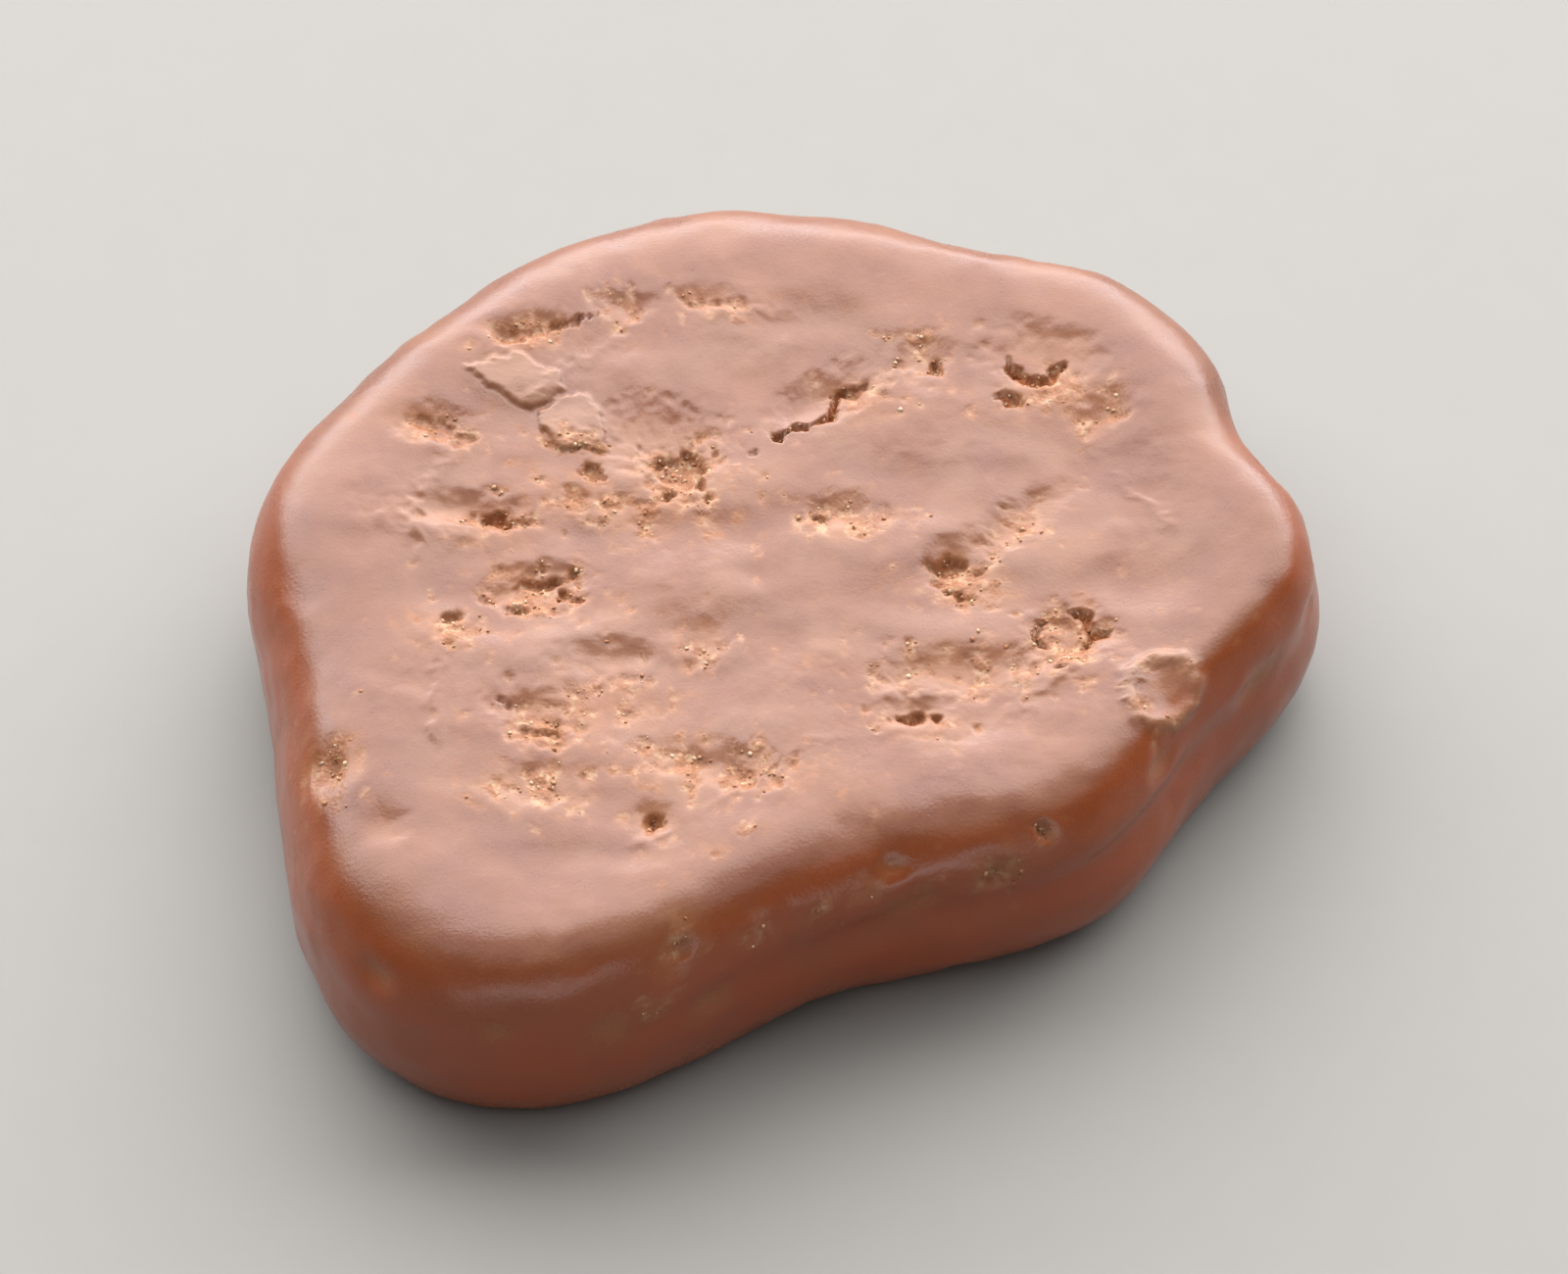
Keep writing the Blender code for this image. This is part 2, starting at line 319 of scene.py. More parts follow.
@dataclass(frozen=True)
class Plate:
    """A thin plate of coat standing proud, by its corners in plan in millimetres, anticlockwise."""

    corners: tuple[tuple[float, float], ...]
    height: float

    def away(self, points: Array) -> Array:
        """How far points lie outside the plate's edge in plan.

        Args:
            points: places on the coat.

        Returns:
            The distances, negative on the plate.
        """
        corners = np.array([on_face(x, y) for x, y in self.corners])
        furthest = np.full(len(points), -np.inf)
        for start, end in zip(corners, np.roll(corners, -1, axis=0)):
            leg = (end - start) / np.linalg.norm(end - start)
            gap = (points[:, 0] - start[0]) * leg[1] - (points[:, 1] - start[1]) * leg[0]
            furthest = np.maximum(furthest, gap)
        return furthest


FACE_MARKS = {
    MarkKind.HOLLOW: marks(
        (-4.2, 6.3, 4.8, 3.4, 0, 0.42), (-3.4, 4.9, 3, 2.6, 0, 0.36), (-11, 3.1, 5, 1.8, 2, 0.31),
        (-8.2, 0.1, 3.8, 2, 15, 0.39), (9, 9.9, 4.6, 3, -6, 0.32), (1.6, 8.2, 4.8, 2.2, 35, 0.34),
        (2.2, 3.4, 2.8, 1.6, 0, 0.28), (5.9, 1.3, 2.8, 2.2, 30, 0.39), (8.2, 3.2, 4.4, 1.8, 42, 0.28),
        (9.7, -1.6, 3.1, 2.6, 0, 0.42), (4.5, -4.9, 2.8, 1.5, 4, 0.31), (-5.9, -3, 4, 1.8, 4, 0.34),
        (-8.4, -5.4, 3.6, 2.4, -20, 0.28), (-8.9, 10.8, 2.8, 1.5, 15, 0.31), (-5.4, 11.9, 2.4, 1.4, 0, 0.25),
        (-2.7, 12.3, 3, 1.2, 0, 0.14), (-12, 6.8, 3.6, 1.8, -10, 0.25), (4.9, 10, 2.2, 2.2, 0, 0.22),
        (-14.9, -7.4, 2.4, 2.6, 0, 0.31), (-13.1, -10, 1.9, 1.9, 0, 0.2), (-4.2, -9.5, 1.8, 1.8, 0, 0.25),
        (11, 7.6, 2.8, 1.4, 30, 0.2), (6.3, -3.2, 6.7, 2, 8, 0.25), (-8, -8.3, 3.8, 2.2, 0, 0.2),
        (-2.2, -7.2, 5.4, 2, -5, 0.21), (-2.6, -2.3, 2.2, 2, 0, 0.17), (12.9, -4, 2.2, 2.1, 0, 0.3),
    ),
    MarkKind.HOLE: marks(
        (-3.3, 5, 1.5, 1.4, 20, 0.26), (-3.75, 3.95, 0.6, 0.45, 0, 0.38), (-2.75, 4.35, 0.5, 0.8, 0, 0.34),
        (-6.4, 4.75, 0.6, 0.4, 0, 0.26), (-9.45, 2.8, 1.3, 0.6, -15, 0.42), (-8.96, -1, 0.6, 0.45, 0, 0.34),
        (-7.35, -0.25, 0.45, 0.8, 20, 0.34), (-8.2, 0.2, 2, 0.5, 12, 0.21), (1.5, 3.05, 0.5, 0.4, 0, 0.26),
        (7.6, 8.2, 0.6, 0.55, 0, 0.42), (-0.95, 5.75, 0.75, 0.45, -20, 0.38), (2.4, 8.6, 1, 0.45, 20, 0.21),
        (-11.1, -1.4, 0.9, 0.5, 0, 0.21), (2, 2.7, 0.4, 0.4, 0, 0.3), (5.7, 1.1, 1.2, 0.8, 0, 0.34),
        (6.05, -0.1, 0.45, 0.4, 0, 0.3), (6.7, 0.9, 0.4, 0.3, 0, 0.26), (9.4, -3.1, 0.5, 0.35, 0, 0.34),
        (4.5, -5.2, 1.3, 0.5, 0, 0.38), (-9.3, -4.8, 0.45, 0.4, 0, 0.34), (-7.9, -6.1, 0.9, 0.6, 0, 0.3),
        (-4.2, -9.6, 0.5, 0.6, 0, 0.38), (-8.85, 10.6, 1.4, 0.5, 10, 0.21), (-2.7, 12.15, 1.5, 0.3, -5, 0.14),
        (5.2, 9.5, 0.4, 0.45, 0, 0.3), (-12.1, 6.9, 1.1, 0.45, -15, 0.15), (-10.8, 6.2, 0.8, 0.4, 0, 0.15),
        (-14.9, -7.5, 0.9, 1, 0, 0.21),
    ),
    MarkKind.CRUMB: marks(
        (-3.4, 4.7, 3.4, 3.2, 0, 1), (-6, 3.3, 5.4, 2, -14, 1), (-9.6, 2.7, 3, 1.5, 0, 0.7),
        (-8.3, -0.3, 4, 2.3, 12, 0.9), (-11, -1.7, 2.4, 1.5, 0, 0.9), (-2.6, -2.4, 2.1, 1.7, 0, 0.8),
        (-6, -4.9, 3.8, 3, 10, 0.7), (-8.2, -6, 3, 2, 0, 0.9), (-8.2, -8.3, 3.4, 2.2, 0, 1),
        (-2.2, -7.2, 5.8, 2.2, -5, 1), (-14.9, -7.5, 2.2, 2.6, 0, 1), (9.2, 8.6, 3.6, 2, 0, 0.8),
        (10.9, 7.6, 2.2, 1.2, 30, 0.8), (2.7, 8.4, 2.4, 2, 0, 0.7), (4.9, 9.9, 1.8, 2.1, 0, 0.9),
        (2.2, 3, 3.4, 1.9, 0, 0.8), (6.3, 0.5, 3, 2.6, 0, 0.8), (8, 2.7, 3, 1.4, 45, 0.8),
        (9.6, -2, 3.2, 3, 0, 0.9), (6.3, -3.2, 7, 2.2, 8, 0.8), (4.5, -5.4, 3, 1.8, 0, 0.8),
        (-4.2, -9.6, 1.5, 1.4, 0, 0.6), (-8.8, 10.6, 2.6, 1.4, 10, 0.7), (-5.4, 11.8, 2, 1.4, 0, 0.7),
        (-2.3, 12, 3, 1.1, -10, 0.6), (-11.4, 6.5, 3.2, 1.6, -12, 0.6), (-7.4, 6.1, 3, 1, -15, 0.9),
        (12.2, -4.9, 1.2, 0.8, -20, 0.9), (13.3, -5, 1.4, 0.8, 15, 1), (13.7, -3.2, 0.9, 0.8, 0, 0.9),
        (12.2, -3, 0.9, 0.7, 0, 0.7), (-2.1, -10.8, 0.9, 0.6, 20, 0.9), (-1.1, -9.9, 0.8, 0.6, 20, 0.8),
    ),
    MarkKind.RING: marks((12.9, -4.05, 2.6, 2.6, 0, 0.2)),
}
CRACKS = (
    Crack(
        ((-0.1, 6.45, 0.21), (0.4, 6.75, 0.25), (0.9, 6.95, 0.15),
         (1.5, 7.3, 0.42), (1.85, 8.1, 0.29), (2.1, 8.6, 0.13)),
        0.55 * MM,
    ),
    Crack(((7.9, 9.8, 0.12), (8, 9.3, 0.42), (8.4, 9, 0.35), (8.8, 8.95, 0.17)), 0.42 * MM),
    Crack(((8.7, 9, 0.13), (9.1, 8.95, 0.39), (9.4, 9.2, 0.25), (9.75, 9.7, 0.1)), 0.38 * MM),
    Crack(((9.9, -0.7, 0.17), (10.4, -1, 0.35), (10.5, -1.6, 0.42), (10.2, -2.2, 0.21)), 0.47 * MM),
    Crack(((8.7, -1, 0.17), (8.65, -1.6, 0.27), (8.9, -2.3, 0.17)), 0.3 * MM),
    Crack(((-8, 10.75, 0.17), (-7.2, 11.05, 0.22), (-6.2, 11.5, 0.13)), 0.21 * MM),
    Crack(((-10.6, 8.9, 0.08), (-10, 8.2, 0.18), (-8.9, 7.6, 0.15), (-8.3, 7.2, 0.12)), 0.05 * MM),
    Crack(((-8.2, 6.6, 0.1), (-7.6, 5.85, 0.18), (-6.1, 5.7, 0.12)), 0.09 * MM),
)
PLATES = (
    Plate(
        ((-8.3, 7.3), (-7.9, 6.5), (-7.5, 5.9), (-6.1, 5.8), (-6, 6.7), (-6.3, 8), (-7.5, 7.9)),
        0.17 * MM,
    ),
    Plate(
        ((-10.7, 9.1), (-10.1, 8.3), (-9.3, 7.8), (-8.4, 7.6), (-7.4, 8.2), (-7.6, 8.8), (-9.2, 9.7)),
        0.13 * MM,
    ),
)
SIDE_MARKS = {
    MarkKind.HOLLOW: (
        SideMark(-99.3, 1.28, 1.7, 3, 0, 0.2), SideMark(-53.8, 1.36, 1.7, 1.6, 0, 0.22),
    ),
    MarkKind.HOLE: (
        SideMark(-98.8, 1.24, 0.9, 0.7, 0, 0.16), SideMark(-53.8, 1.36, 0.8, 0.7, 0, 0.22),
        SideMark(-46.3, 1.23, 0.6, 0.5, 0, 0.25),
    ),
    MarkKind.CRUMB: (
        SideMark(-98.8, 1.24, 1.3, 2, 0, 0.7), SideMark(-101.3, 1.4, 0.9, 1.4, 0, 0.8),
        SideMark(-89.8, 1.31, 1.2, 0.9, 0, 0.6), SideMark(-79.8, 1.32, 1, 0.6, 20, 0.8),
        SideMark(-72.3, 1.32, 1.1, 0.7, 20, 0.95), SideMark(-63.8, 1.33, 0.9, 0.5, 20, 0.6),
        SideMark(-53.8, 1.34, 1.9, 1.7, 0, 0.55), SideMark(-46.3, 1.24, 1.4, 0.9, 0, 0.45),
    ),
}


@dataclass
class Skin:
    """The coat's points while they are shaped, and what its finish needs to know of each."""

    points: Array
    normals: Array
    stations: Array
    bearings: Array
    rings: list[Array]

    def __post_init__(self) -> None:
        """Starts with a whole, plain coat."""
        self.rise, self.pits = np.zeros((2, len(self.points)))
        self.crumb, self.hollow, self.side, self.amber, self.flake = np.zeros((5, len(self.points)))

    @property
    def face(self) -> Array:
        """Where a point lies on the coat's upper half."""
        return self.stations < 1.5

    def note(self, name: str, value: Array) -> None:
        """Raises what is noted under a name to at least the given values."""
        setattr(self, name, np.maximum(getattr(self, name), value))


@dataclass
class ChocolateCoat:
    """The coated chip's one closed skin, from the middle of its face round to its underside."""

    outline: SliceOutline = SliceOutline()
    bead: RimBead = RimBead()
    foot_sink: float = 0.40 * MM
    face_sink: float = 0.20 * MM
    underside_sink: float = 0.45 * MM
    sink_ramp: float = 3.2 * MM
    swells: tuple[Span, ...] = ((9.0 * MM, 0.30 * MM), (2.6 * MM, 0.08 * MM))
    ridge_size: float = 2.3 * MM
    ridge_stretch: float = 2.4
    ridge_height: float = 0.15 * MM
    drape_depth: float = 0.38 * MM
    drape_level: float = 0.9 * MM
    drape_width: float = 0.9 * MM
    drape_bearing: float = -55
    drape_spread: float = 50
    drape_span: Span = (0.3, 0.9)
    scatter_seed: int = 29
    underside_hollow_count: int = 34
    underside_reach: float = 0.78
    underside_lengths: Span = (2.0, 4.4)
    underside_widths: Span = (0.45, 0.85)
    underside_turns: Span = (-0.5, 0.9)
    underside_depths: Span = (0.3, 0.8)
    rim_hollow_count: int = 30
    rim_stations: Span = (1.25, 1.75)
    rim_lengths: Span = (1.3, 3.0)
    rim_widths: Span = (0.5, 0.9)
    rim_depths: Span = (0.10, 0.25)
    fray_seed: int = 3
    fray_size: float = 0.55 * MM
    fray_octaves: int = 4
    fray_reach: float = 0.20 * MM
    hollow_fray: float = 0.20
    hole_fray: float = 0.80
    hollow_edge: Span = (0.0, 1.25)
    hollow_tint: Span = (0.2, 1.2)
    hole_edge: Span = (0.40, 1.20)
    crumb_edge: Span = (0.45, 1.15)
    crumb_tint: Span = (0.3, 1.7)
    crack_edge: Span = (0.45, 1.20)
    least_fray: float = 0.35
    patch_size: float = 0.8 * MM
    patch_span: Span = (-0.55, 0.20)
    crumbly_depths: Span = (0.05 * MM, 0.30 * MM)
    hollow_depths: Span = (0.12 * MM, 0.50 * MM)
    plate_edge: float = 0.12 * MM
    plate_fray: float = 0.18 * MM
    ring_width: float = 0.20
    tide_height: float = 0.06 * MM
    tide_reach: float = 2.6 * MM
    tide_width: float = 0.25 * MM
    tide_fray: float = 1.5
    tide_span: Span = (-0.1, 0.4)
    streak_size: float = 1.1 * MM
    streak_stretch: float = 3.5
    streak_height: float = 0.05 * MM
    # How much of the painted shade on the rim's steep sides is cut on the far side, away from the camera,
    # where the rim keeps the pale face colour.
    far_shade_cut: float = 0.85
    far_shade_span: Span = (0.10, 0.60)
    hollow_gain: float = 0.82
    centre_pale: float = 0.42
    centre_reach: float = 3.5 * MM
    centre_patch: float = 2.4 * MM
    centre_span: Span = (-0.35, 0.35)
    # Painted glow: how strongly each face hollow takes the lighter amber tint that offsets the shade on its
    # walls.
    hollow_glow: float = 0.85
    face_spacing: float = 0.095 * MM
    rim_spacing: float = 0.24 * MM
    underside_spacing: float = 0.30 * MM
    grain_sizes: tuple[Span, ...] = ((0.55 * MM, 0.22 * MM), (0.28 * MM, 0.11 * MM))
    grain_level: float = 0.35
    skin_ripple_size: float = 1.1 * MM
    skin_ripple_height: float = 0.016 * MM
    uneven_size: float = 4.0 * MM
    uneven_gain: float = 1.8
    uneven_span: Span = (-0.3, 0.5)
    underside_uneven: float = 0.3

    def build(self, finish: "MilkChocolate") -> bpy.types.Object:
        """Makes the coat and sets it in the frame.

        Args:
            finish: the chocolate that it is dressed in.

        Returns:
            The coat's object.
        """
        skin = self.lay_rings()
        self.shape(skin)
        self.place(skin)
        coat = new_object("milk_chocolate_coat", self.mesh(skin))
        coat.data.materials.append(finish.material())
        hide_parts(CAD_NODE)
        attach(coat, ROOT)
        return coat

    def ring_stations(self) -> Iterator[tuple[float, float]]:
        """Yields each ring's station and its points' spacing, from the face to the underside."""
        inner = self.outline.mean_radius - self.bead.half_width
        rim = math.pi * math.hypot(self.bead.half_width, self.bead.half_thickness) / math.sqrt(2)
        face_rings = round(inner / self.face_spacing)
        rim_rings = round(rim / self.rim_spacing)
        underside_rings = round(inner / self.underside_spacing)
        for k in range(1, face_rings):
            yield k / face_rings, self.face_spacing
        for k in range(rim_rings + 1):
            yield 1 + k / rim_rings, self.rim_spacing
        for k in range(1, underside_rings):
            yield 2 + k / underside_rings, self.underside_spacing

    def ring(self, station: float, spacing: float) -> Array:
        """The bearings of one ring's points.

        Args:
            station: where the ring lies on the profile.
            spacing: how far apart its points are.

        Returns:
            Evenly spread bearings, as many as the ring's length asks for.
        """
        probe = np.linspace(-math.pi, math.pi, 72, endpoint=False)
        points, _ = self.bead.surface(self.outline, np.full_like(probe, station), probe)
        length = np.linalg.norm(points - np.roll(points, 1, axis=0), axis=1).sum()
        count = max(6, round(length / spacing))
        return np.arange(count) / count * TAU - math.pi

    def lay_rings(self) -> Skin:
        """The smooth coat's points, ring by ring, with a single point at either end.

        Returns:
            The plain skin.
        """
        rings = [(0.0, np.zeros(1))]
        rings += [(station, self.ring(station, spacing)) for station, spacing in self.ring_stations()]
        rings.append((3.0, np.zeros(1)))
        stations = np.concatenate([np.full_like(ring, station) for station, ring in rings])
        bearings = np.concatenate([ring for _, ring in rings])
        points, normals = self.bead.surface(self.outline, stations, bearings)
        return Skin(points, normals, stations, bearings, [ring for _, ring in rings])

    def shape(self, skin: Skin) -> None:
        """Presses the relief into the skin and notes what its finish needs to know.

        Args:
            skin: the plain skin.
        """
        self.swell(skin)
        noise.seed_set(self.fray_seed)
        ragged = skin.points + self.fray_reach * drift(skin.points, self.fray_size)
        fray = wobble(skin.points, self.fray_size, self.fray_octaves)
        broken = np.maximum(1 + self.hole_fray * fray, self.least_fray)
        self.press_marks(skin, ragged, broken, 1 + self.hollow_fray * fray)
        for crack in CRACKS:
            sunk = crack.depth * fade(self.crack_edge, crack.away(ragged) * broken)
            skin.note("pits", skin.face * sunk)
        for plate in PLATES:
            away = plate.away(ragged) + self.plate_fray * fray
            plated = skin.face * fade((-self.plate_edge, self.plate_edge), away)
            skin.rise += plate.height * plated
            skin.note("flake", plated)
        self.note_finish(skin)
        self.roughen(skin, fray)
        skin.points = skin.points + skin.normals * skin.rise[:, None]

    def swell(self, skin: Skin) -> None:
        """Gives the smooth coat its lumps, ripples and ridges, and sinks its faces.

        Args:
            skin: the skin.
        """
        points = skin.points
        for size, height in self.swells:
            skin.rise += height * wobble(points, size)
        ridges = wobble(points / (self.ridge_stretch, 1, 1), self.ridge_size)
        skin.rise += self.ridge_height * ridges * ramp(0.0, self.sink_ramp, self.inward(skin))
        skin.rise -= self.sink(skin)

    def press_marks(self, skin: Skin, ragged: Array, broken: Array, soft: Array) -> None:
        """Presses every hollow, hole, crumbly patch and ring into the skin.

        Args:
            skin: the skin.
            ragged: its points, moved about so that edges tear.
            broken: what varies the distance from a torn edge.
            soft: what varies the distance from a soft one.
        """
        for kind, mark, middle, along in self.all_marks():
            if kind is MarkKind.HOLLOW:
                away = mark.away(skin.points, middle, along) * soft
                skin.rise -= self.hollow_gain * mark.depth * fade(self.hollow_edge, away)
                # Painted glow: a lighter orange tint over the hollow offsets the shade of its walls.
                skin.note("amber", self.hollow_glow * fade(self.hollow_tint, away))
            elif kind is MarkKind.HOLE:
                away = mark.away(ragged, middle, along) * broken
                skin.note("pits", mark.depth * fade(self.hole_edge, away))
            elif kind is MarkKind.RING:
                ring = np.exp(-(((mark.away(ragged, middle, along) - 1) / self.ring_width) ** 2))
                skin.rise += mark.depth * soft * ring
                skin.note("flake", ring)
            else:
                away = mark.away(ragged, middle, along) * broken
                skin.note("crumb", mark.depth / MM * fade(self.crumb_edge, away))
                skin.note("amber", mark.depth / MM * fade(self.crumb_tint, away))

    def note_finish(self, skin: Skin) -> None:
        """Notes where the coat is crumbly, hollow and pale, and how much painted shade its steep sides take.

        Args:
            skin: the skin with its marks.
        """
        skin.crumb *= ramp(*self.patch_span, wobble(skin.points, self.patch_size))
        skin.note("crumb", ramp(*self.crumbly_depths, skin.pits))
        skin.hollow = ramp(*self.hollow_depths, skin.pits)
        centre = ramp(0.0, self.centre_reach, self.inward(skin)) * skin.face
        centre *= ramp(*self.centre_span, wobble(skin.points, self.centre_patch, 3))
        skin.note("flake", self.centre_pale * centre)
        # side: the coat's steepness, cut on the far side; the material paints the rim's shade from it.
        side_shade_weight = 1 - self.far_shade_cut * ramp(*self.far_shade_span, np.sin(skin.bearings))
        skin.side = side_shade_weight * (1 - np.abs(skin.normals[:, 2]))

    def roughen(self, skin: Skin, fray: Array) -> None:
        """Sinks the pits and adds the tide line, streaks, crumb and fine ripples.

        Args:
            skin: the noted skin.
            fray: the noise that tears its edges.
        """
        skin.rise -= skin.pits
        skin.rise += self.tide(skin, fray) + self.streaks(skin)
        for size, height in self.grain_sizes:
            skin.rise += skin.crumb * height * (self.grain_level - grains(skin.points, size))
        uneven = ramp(*self.uneven_span, wobble(skin.points, self.uneven_size))
        uneven *= np.where(skin.face, 1.0, self.underside_uneven)
        height = self.skin_ripple_height * (1 + self.uneven_gain * uneven)
        skin.rise += height * wobble(skin.points, self.skin_ripple_size, 4)

    def tide(self, skin: Skin, fray: Array) -> Array:
        """The low broken ridge that the setting chocolate left on the face, inside the bead.

        Args:
            skin: the skin.
            fray: the noise that tears its edges.

        Returns:
            The ridge's rise at each point.
        """
        past = (self.inward(skin) - self.tide_reach) / self.tide_width + self.tide_fray * fray
        there = ramp(*self.tide_span, wobble(skin.points, self.uneven_size))
        return self.tide_height * there * np.exp(-(past**2)) * skin.face

    def streaks(self, skin: Skin) -> Array:
        """Faint streaks round the side of the rim, where the coat ran."""
        stretched = skin.points / (self.streak_stretch, self.streak_stretch, 1)
        return self.streak_height * skin.side * wobble(stretched, self.streak_size)

    def inward(self, skin: Skin) -> Array:
        """How far each point of the smooth coat lies inside the crest of the bead."""
        crest = self.outline.reach(skin.bearings) - self.bead.width(skin.bearings)
        return crest - np.hypot(skin.points[:, 0], skin.points[:, 1])

    def sink(self, skin: Skin) -> Array:
        """How far the faces and the drape line lie below the smooth coat.

        Args:
            skin: the skin.

        Returns:
            The depths.
        """
        points = skin.points
        face = np.where(skin.face, self.face_sink, self.underside_sink)
        drape = np.exp(-(((points[:, 2] - self.drape_level) / self.drape_width) ** 2))
        drape *= bearing_bump(skin.bearings, self.drape_bearing, self.drape_spread)
        drape *= ramp(*self.drape_span, 1 - np.abs(skin.normals[:, 2]))
        return face * ramp(0.0, self.sink_ramp, self.inward(skin)) + self.drape_depth * drape

    def place(self, skin: Skin) -> None:
        """Sets the skin on its foot, in the middle of its solid.

        Args:
            skin: the shaped skin.
        """
        points = skin.points
        points[:, 2] = np.maximum(points[:, 2] + self.bead.half_thickness - self.foot_sink, 0.0)
        low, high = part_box(CAD_NODE)
        middle = (points[:, :2].min(axis=0) + points[:, :2].max(axis=0)) / 2
        points[:, :2] += np.array([(low.x + high.x) / 2, (low.y + high.y) / 2]) - middle

    def all_marks(self) -> Iterator[tuple[MarkKind, Mark, Array, Array]]:
        """Yields every mark's kind, the mark, its middle on the smooth coat and the way it runs."""
        draw = random.Random(self.scatter_seed)
        for kind, group in FACE_MARKS.items():
            for mark in group:
                yield (kind, mark, *self.mark_frame(mark, 1))
        for kind, group in SIDE_MARKS.items():
            for mark in group:
                yield (kind, *self.side_mark(mark))
        for mark in self.underside_hollows(draw):
            yield (MarkKind.HOLLOW, mark, *self.mark_frame(mark, -1))
        for placed in self.rim_hollows(draw):
            yield (MarkKind.HOLLOW, *placed)

    def mark_frame(self, mark: Mark, side: int) -> tuple[Array, Array]:
        """Where a mark lies on the smooth coat.

        Args:
            mark: the mark.
            side: 1 for the face, -1 for the underside.

        Returns:
            Its middle, and the unit vector that it runs along.
        """
        bearing = np.array([math.atan2(mark.y, mark.x)])
        reach = math.hypot(mark.x, mark.y)
        width = float(self.bead.width(bearing)[0])
        crest = float(self.outline.reach(bearing)[0]) - width
        past = min(max((reach - crest) / width, 0.0), 1.0)
        level = (1 - past**self.bead.fullness) ** (1 / self.bead.fullness)
        level *= side * float(self.bead.height(bearing)[0])
        along = np.array([math.cos(mark.turn), math.sin(mark.turn), 0.0])
        return np.array([mark.x, mark.y, level]), along

    def side_mark(self, mark: SideMark) -> tuple[Mark, Array, Array]:
        """A side mark's mark, its middle on the smooth coat and the unit vector that it runs along."""
        place = self.side_frame(math.radians(mark.bearing), mark.station, math.radians(mark.turn))
        return (Mark(0, 0, mark.length * MM, mark.width * MM, 0, mark.depth * MM), *place)

    def side_frame(self, bearing: float, station: float, turn: float) -> tuple[Array, Array]:
        """Where a mark on the side of the rim lies.

        Args:
            bearing: its bearing, in radians.
            station: its station on the profile.
            turn: how far it is turned from round the rim, in radians.

        Returns:
            Its middle, and the unit vector that it runs along.
        """
        middle, normal = self.bead.surface(self.outline, np.array([station]), np.array([bearing]))
        around = np.array([-math.sin(bearing), math.cos(bearing), 0.0])
        return middle[0], around * math.cos(turn) + np.cross(normal[0], around) * math.sin(turn)

    def underside_hollows(self, draw: random.Random) -> Iterator[Mark]:
        """Yields hollows spread over the underside.

        Args:
            draw: the random draw.
        """
        for _ in range(self.underside_hollow_count):
            bearing = draw.uniform(-math.pi, math.pi)
            reach = self.outline.mean_radius * self.underside_reach * math.sqrt(draw.random())
            length = draw.uniform(*self.underside_lengths) * MM
            width = length * draw.uniform(*self.underside_widths)
            turn = draw.uniform(*self.underside_turns)
            depth = draw.uniform(*self.underside_depths) * MM
            yield Mark(reach * math.cos(bearing), reach * math.sin(bearing), length, width, turn, depth)

    def rim_hollows(self, draw: random.Random) -> Iterator[tuple[Mark, Array, Array]]:
        """Yields small dimples round the side of the rim, each with its middle and way.

        Args:
            draw: the random draw.
        """
        for _ in range(self.rim_hollow_count):
            bearing = draw.uniform(-math.pi, math.pi)
            place = self.side_frame(bearing, draw.uniform(*self.rim_stations), 0)
            length = draw.uniform(*self.rim_lengths) * MM
            width = length * draw.uniform(*self.rim_widths)
            yield (Mark(0, 0, length, width, 0, draw.uniform(*self.rim_depths) * MM), *place)

    def mesh(self, skin: Skin) -> bpy.types.Mesh:
        """The skin as one closed mesh that carries what its finish reads at each point.

        Args:
            skin: the finished skin.

        Returns:
            The mesh.
        """
        mesh = bpy.data.meshes.new("milk_chocolate_coat")
        mesh.from_pydata(skin.points.tolist(), [], list(self.triangles(skin.rings)))
        for name in NOTES:
            mesh.attributes.new(name, "FLOAT", "POINT").data.foreach_set("value", getattr(skin, name))
        mesh.shade_smooth()
        return mesh

    def triangles(self, rings: list[Array]) -> Iterator[tuple[int, int, int]]:
        """Yields the triangles between each ring and the next, stepping round whichever lags.

        Args:
            rings: the bearings of each ring's points.
        """
        start = 0
        for above, below in zip(rings, rings[1:]):
            under = start + len(above)
            i, j = 0, 0
            while i < len(above) or j < len(below):
                next_above = above[i] + math.pi / len(above) if i < len(above) else math.inf
                next_below = below[j] + math.pi / len(below) if j < len(below) else math.inf
                a = start + i % len(above)
                b = under + j % len(below)
                if next_above <= next_below:
                    i += 1
                    if len(above) > 1:
                        yield a, b, start + i % len(above)
                else:
                    j += 1
                    if len(below) > 1:
                        yield a, b, under + j % len(below)
            start = under


